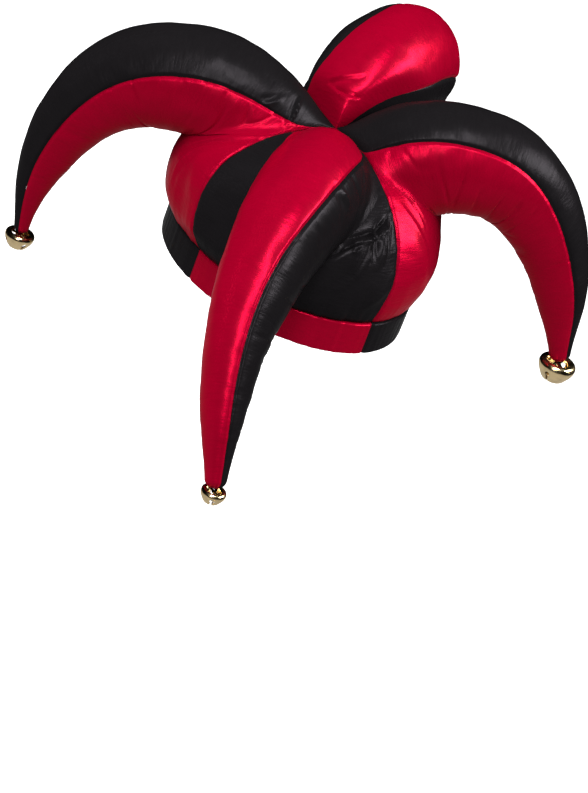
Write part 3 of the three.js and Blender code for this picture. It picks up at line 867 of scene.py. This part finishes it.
def slit_cutters(width):
    """One cutter for each of two crossed slits up from the floor, and one for their round ends."""
    top = width * BELL_HEIGHT_TO_WIDTH * BELL_SLIT_TOP
    through = 1.3 * width
    cutters = []
    for turn in (0, math.pi / 2):
        spin = Matrix.Rotation(turn, 4, "Z")
        slit = bmesh.new()
        place = spin @ Matrix.Translation((0, 0, top / 2 - 1))
        size = Matrix.Diagonal((through, BELL_SLIT, top + 2, 1))
        bmesh.ops.create_cube(slit, size=1, matrix=place @ size)
        cutters.append(object_from("slit_cutter", slit))
        hole = bmesh.new()
        lying = Matrix.Translation((0, 0, top)) @ Matrix.Rotation(math.pi / 2, 4, "Y")
        bmesh.ops.create_cone(
            hole,
            cap_ends=True,
            segments=28,
            radius1=BELL_SLIT_HOLE / 2,
            radius2=BELL_SLIT_HOLE / 2,
            depth=through,
            matrix=spin @ lying,
        )
        cutters.append(object_from("hole_cutter", hole))
    return cutters


def strap_solid(width):
    """The strip that bridges the bell's mouth, wider where it runs into the rim."""
    strap = bmesh.new()
    rings = []
    for t in np.linspace(-1, 1, 33):
        reach = t * width * STRAP_REACH
        half_strip = width * (STRAP_HALF_WIDTH + STRAP_SPREAD * abs(t) ** 5)
        top = strap_top(width) - STRAP_SAG * (1 - t * t)
        ring = []
        for across, drop in STRAP_OUTLINE:
            height = top - drop * STRAP_THICKNESS
            ring.append(strap.verts.new((reach, across * half_strip, height)))
        rings.append(ring)
    for low, high in zip(rings, rings[1:]):
        for i in range(len(low)):
            j = (i + 1) % len(low)
            strap.faces.new((low[i], low[j], high[j], high[i]))
    strap.faces.new(rings[0][::-1])
    strap.faces.new(rings[-1])
    bmesh.ops.recalc_face_normals(strap, faces=strap.faces)
    strap.transform(Matrix.Rotation(math.pi / 4, 4, "Z"))
    return object_from("bell_strap", strap)


def combine(piece, other, operation):
    """Cuts or joins a helper object into a piece, then deletes the helper."""
    change = piece.modifiers.new("combine", "BOOLEAN")
    change.operation = operation
    change.object = other
    change.solver = "EXACT"
    bpy.context.view_layer.objects.active = piece
    bpy.ops.object.modifier_apply(modifier=change.name)
    bpy.data.objects.remove(other, do_unlink=True)


def bell(section):
    width = bell_width(section)
    piece = object_from(f"bell_shell_{section['name']}", lathe(bell_profile(width), BELL_SIDES))
    for cutter in slit_cutters(width):
        combine(piece, cutter, "DIFFERENCE")
    combine(piece, strap_solid(width), "UNION")
    place = Matrix.Translation(Vector(bell_place(section)) * MM)
    spin = Matrix.Rotation(bell_turn(section), 4, "Z")
    piece.data.transform(place @ spin @ Matrix.Scale(MM, 4))
    piece.data.shade_smooth()
    piece.data.set_sharp_from_angle(angle=math.radians(SHARP_BELL))
    dress(piece, "bell_brass", f"bell_{section['name']}")


def pellet(section):
    radius = PELLET_TO_BELL * bell_width(section) / 2
    ball = bmesh.new()
    bmesh.ops.create_uvsphere(ball, u_segments=32, v_segments=20, radius=radius * MM)
    rise = BELL_WALL + GAP + radius
    ball.transform(Matrix.Translation((Vector(bell_place(section)) + Vector((0, 0, rise))) * MM))
    piece = object_from(f"ball_{section['name']}", ball)
    piece.data.shade_smooth()
    dress(piece, "pellet_steel", f"pellet_{section['name']}")


def thread_loops(section):
    """The loops of thread that sew a horn's tip to the strap across its bell."""
    width = bell_width(section)
    centre = bell_place(section) + np.array([0, 0, strap_top(width) - 0.1])
    curve = bpy.data.curves.new(f"thread_{section['name']}", "CURVE")
    curve.dimensions = "3D"
    curve.bevel_depth = THREAD_WIDTH / 2 * MM
    curve.bevel_resolution = 3
    turn = bell_turn(section) + math.pi / 4
    along_strap = np.array([math.cos(turn), math.sin(turn), 0])
    across_strap = np.array([-math.sin(turn), math.cos(turn), 0])
    for loop in range(THREAD_LOOPS):
        shift = (loop - (THREAD_LOOPS - 1) / 2) * THREAD_WIDTH * THREAD_SPACING
        spline = curve.splines.new("POLY")
        spline.points.add(THREAD_POINTS - 1)
        spline.use_cyclic_u = True
        for i, point in enumerate(spline.points):
            angle = 2 * math.pi * i / THREAD_POINTS
            lean = THREAD_LEAN * math.sin(angle) * (loop - 1)
            half_loop = width * STRAP_HALF_WIDTH + THREAD_WIDTH
            spot = centre + along_strap * (shift + lean)
            spot = spot + across_strap * math.cos(angle) * half_loop
            spot = spot + np.array([0, 0, math.sin(angle) * THREAD_RISE])
            point.co = (*(spot * MM), 1)
    lines = bpy.data.objects.new(f"thread_{section['name']}", curve)
    bpy.context.collection.objects.link(lines)
    bpy.context.view_layer.update()
    shaped = lines.evaluated_get(bpy.context.evaluated_depsgraph_get())
    solid = bpy.data.meshes.new_from_object(shaped)
    bpy.data.objects.remove(lines, do_unlink=True)
    piece = bpy.data.objects.new(f"thread_{section['name']}", solid)
    bpy.context.collection.objects.link(piece)
    dress(piece, f"satin_{section['gore']}")


# Materials.


def new_material(name):
    material = bpy.data.materials.new(name)
    material.use_nodes = True
    nodes = material.node_tree.nodes
    return material, nodes, material.node_tree.links, nodes["Principled BSDF"]


def add_bump(material, height, strength, distance):
    bump = material.node_tree.nodes.new("ShaderNodeBump")
    bump.inputs["Strength"].default_value = strength
    bump.inputs["Distance"].default_value = distance * MM
    material.node_tree.links.new(height, bump.inputs["Height"])
    return bump


def add_range(material, value, look, first=0, last=1):
    """The roughness of a look, from smooth to rough as a value goes from first to last."""
    part = material.node_tree.nodes.new("ShaderNodeMapRange")
    part.inputs["From Min"].default_value = first
    part.inputs["From Max"].default_value = last
    part.inputs["To Min"].default_value = look["smooth"]
    part.inputs["To Max"].default_value = look["rough"]
    material.node_tree.links.new(value, part.inputs["Value"])
    return part.outputs["Result"]


def add_shades(material, value, first, last):
    """A colour that runs from one shade to another. Each is a place and a colour."""
    ramp = material.node_tree.nodes.new("ShaderNodeValToRGB")
    for element, (place, colour) in zip(ramp.color_ramp.elements, (first, last)):
        element.position = place
        element.color = (*colour, 1)
    material.node_tree.links.new(value, ramp.inputs["Fac"])
    return ramp.outputs["Color"]


def satin(name, look):
    """Satin: long floats of thread that shine across their length."""
    material, nodes, links, shader = new_material(name)
    cloth = nodes.new("ShaderNodeUVMap")
    cloth.uv_map = "cloth"

    def threads(along, across, detail):
        stretch = nodes.new("ShaderNodeMapping")
        stretch.inputs["Scale"].default_value = (1 / (along * MM), 1 / (across * MM), 1)
        links.new(cloth.outputs["UV"], stretch.inputs["Vector"])
        texture = nodes.new("ShaderNodeTexNoise")
        texture.inputs["Scale"].default_value = 1
        texture.inputs["Detail"].default_value = detail
        links.new(stretch.outputs["Vector"], texture.inputs["Vector"])
        return texture.outputs["Fac"]

    fine = threads(0.8, 4, 2)
    streaks = threads(1.6, 9, 3)
    cloudy = threads(30, 45, 2)

    fine_bump = add_bump(material, fine, look["fine"], FINE_BUMP)
    streak_bump = add_bump(material, streaks, look["streak"], STREAK_BUMP)
    links.new(fine_bump.outputs["Normal"], streak_bump.inputs["Normal"])
    links.new(streak_bump.outputs["Normal"], shader.inputs["Normal"])

    clouds = nodes.new("ShaderNodeMath")
    clouds.operation = "MULTIPLY"
    clouds.inputs[1].default_value = 1 - STREAK_SHARE
    links.new(cloudy, clouds.inputs[0])
    blend = nodes.new("ShaderNodeMath")
    blend.operation = "MULTIPLY_ADD"
    blend.inputs[1].default_value = STREAK_SHARE
    links.new(streaks, blend.inputs[0])
    links.new(clouds.outputs[0], blend.inputs[2])
    shade = add_shades(material, blend.outputs[0], (0.3, look["deep"]), (0.7, look["colour"]))
    links.new(shade, shader.inputs["Base Color"])
    links.new(add_range(material, streaks, look), shader.inputs["Roughness"])

    tangent = nodes.new("ShaderNodeTangent")
    tangent.direction_type = "UV_MAP"
    tangent.uv_map = "cloth"
    links.new(tangent.outputs["Tangent"], shader.inputs["Tangent"])
    shader.inputs["Anisotropic"].default_value = SATIN_ANISOTROPIC
    shader.inputs["Metallic"].default_value = SATIN_METALLIC
    shader.inputs["Specular IOR Level"].default_value = SATIN_SPECULAR
    shader.inputs["Coat Weight"].default_value = look["coat"]
    shader.inputs["Coat Roughness"].default_value = SATIN_COAT_ROUGHNESS
    shader.inputs["Specular Tint"].default_value = (*look["tint"], 1)
    return material


def polished(name, look):
    """Polished metal with faint wear in its gloss."""
    material, nodes, links, shader = new_material(name)
    place = nodes.new("ShaderNodeTexCoord")
    wear = nodes.new("ShaderNodeTexNoise")
    wear.inputs["Scale"].default_value = look["scale"]
    wear.inputs["Detail"].default_value = 5
    links.new(place.outputs["Object"], wear.inputs["Vector"])
    worn = wear.outputs["Fac"]
    links.new(add_range(material, worn, look, 0.35, 0.65), shader.inputs["Roughness"])
    dull = [WORN_SHADE * c for c in look["colour"]]
    shade = add_shades(material, worn, (0.35, dull), (0.6, look["colour"]))
    links.new(shade, shader.inputs["Base Color"])
    dents = add_bump(material, worn, WEAR_STRENGTH, WEAR_BUMP)
    links.new(dents.outputs["Normal"], shader.inputs["Normal"])
    shader.inputs["Metallic"].default_value = 1
    return material


def plain_floor():
    """A pale floor that is seen, but throws no light of its own back onto the hat."""
    material, _, _, shader = new_material("pale_floor")
    shader.inputs["Base Color"].default_value = (FLOOR_SHADE, FLOOR_SHADE, FLOOR_SHADE, 1)
    shader.inputs["Roughness"].default_value = FLOOR_ROUGHNESS
    mesh = bpy.data.meshes.new("floor")
    half = FLOOR_HALF
    square = [(-half, -half), (half, -half), (half, half), (-half, half)]
    corners = [(x, y, FLOOR) for x, y in square]
    mesh.from_pydata(corners, [], [(0, 1, 2, 3)])
    mesh.materials.append(material)
    floor = bpy.data.objects.new("floor", mesh)
    bpy.context.collection.objects.link(floor)
    floor.visible_diffuse = False
    floor.visible_glossy = False


# Camera and light.


def direction_to(azimuth, elevation):
    level = math.cos(math.radians(elevation))
    x = level * math.cos(math.radians(azimuth))
    y = level * math.sin(math.radians(azimuth))
    return Vector((x, y, math.sin(math.radians(elevation))))


def camera_axes():
    roll = math.radians(CAMERA_ROLL)
    back = direction_to(CAMERA_AZIMUTH, CAMERA_ELEVATION)
    right = (-back).cross(Vector((0, 0, 1))).normalized()
    up = right.cross(-back)
    turned_right = right * math.cos(roll) + up * math.sin(roll)
    turned_up = up * math.cos(roll) - right * math.sin(roll)
    return turned_right, turned_up, back


def add_camera():
    right, up, back = camera_axes()
    data = bpy.data.cameras.new("camera")
    data.sensor_width = SENSOR_WIDTH
    data.lens = SENSOR_WIDTH * CAMERA_FOCAL_PIXELS / PHOTO_HEIGHT_PIXELS
    data.clip_end = CAMERA_CLIP
    camera = bpy.data.objects.new("camera", data)
    place = (back * CAMERA_DISTANCE + right * CAMERA_RIGHT + up * CAMERA_UP) * MM
    frame_axes = Matrix((right, up, back)).transposed().to_4x4()
    camera.matrix_world = Matrix.Translation(place) @ frame_axes
    bpy.context.collection.objects.link(camera)
    bpy.context.scene.camera = camera


def soft_light(name, azimuth, elevation, distance, size, power, shows):
    """An oblong soft light, placed by its direction from the hat in degrees, aimed at the hat."""
    data = bpy.data.lights.new(name, "AREA")
    data.shape = "RECTANGLE"
    data.size, data.size_y = size
    data.energy = power
    light = bpy.data.objects.new(name, data)
    toward = direction_to(azimuth, elevation)
    light.location = toward * distance + LIGHT_AIM
    light.visible_glossy = shows
    light.visible_camera = False
    light.rotation_euler = toward.to_track_quat("Z", "Y").to_euler()
    bpy.context.collection.objects.link(light)


def add_world():
    """Even white light from all round, which doesn't show in glossy reflections."""
    world = bpy.data.worlds.new("studio")
    world.use_nodes = True
    background = world.node_tree.nodes["Background"]
    background.inputs["Color"].default_value = (1, 1, 1, 1)
    background.inputs["Strength"].default_value = WORLD_STRENGTH
    world.cycles_visibility.glossy = False
    bpy.context.scene.world = world


# The hat.

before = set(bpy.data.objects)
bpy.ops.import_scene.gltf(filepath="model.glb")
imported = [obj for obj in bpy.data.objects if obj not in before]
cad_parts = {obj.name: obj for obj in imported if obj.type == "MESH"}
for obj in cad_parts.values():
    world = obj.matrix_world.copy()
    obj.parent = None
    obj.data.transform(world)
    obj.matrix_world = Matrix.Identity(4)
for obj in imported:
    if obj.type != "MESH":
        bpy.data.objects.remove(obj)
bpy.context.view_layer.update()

LOOKS = {
    "satin_red": satin("red_satin", RED_LOOK),
    "satin_black": satin("black_satin", BLACK_LOOK),
    "bell_brass": polished("bell_brass", BRASS_LOOK),
    "pellet_steel": polished("pellet_steel", STEEL_LOOK),
}

for section in SECTIONS:
    crown_gore(section)
    band_quarter(section)
    horn_half(section, "under")
    horn_half(section, "top")
    bell(section)
    pellet(section)
    thread_loops(section)

bpy.context.scene.view_settings.view_transform = "Standard"
plain_floor()
add_camera()
add_world()
for row in LIGHTS:
    soft_light(**row)
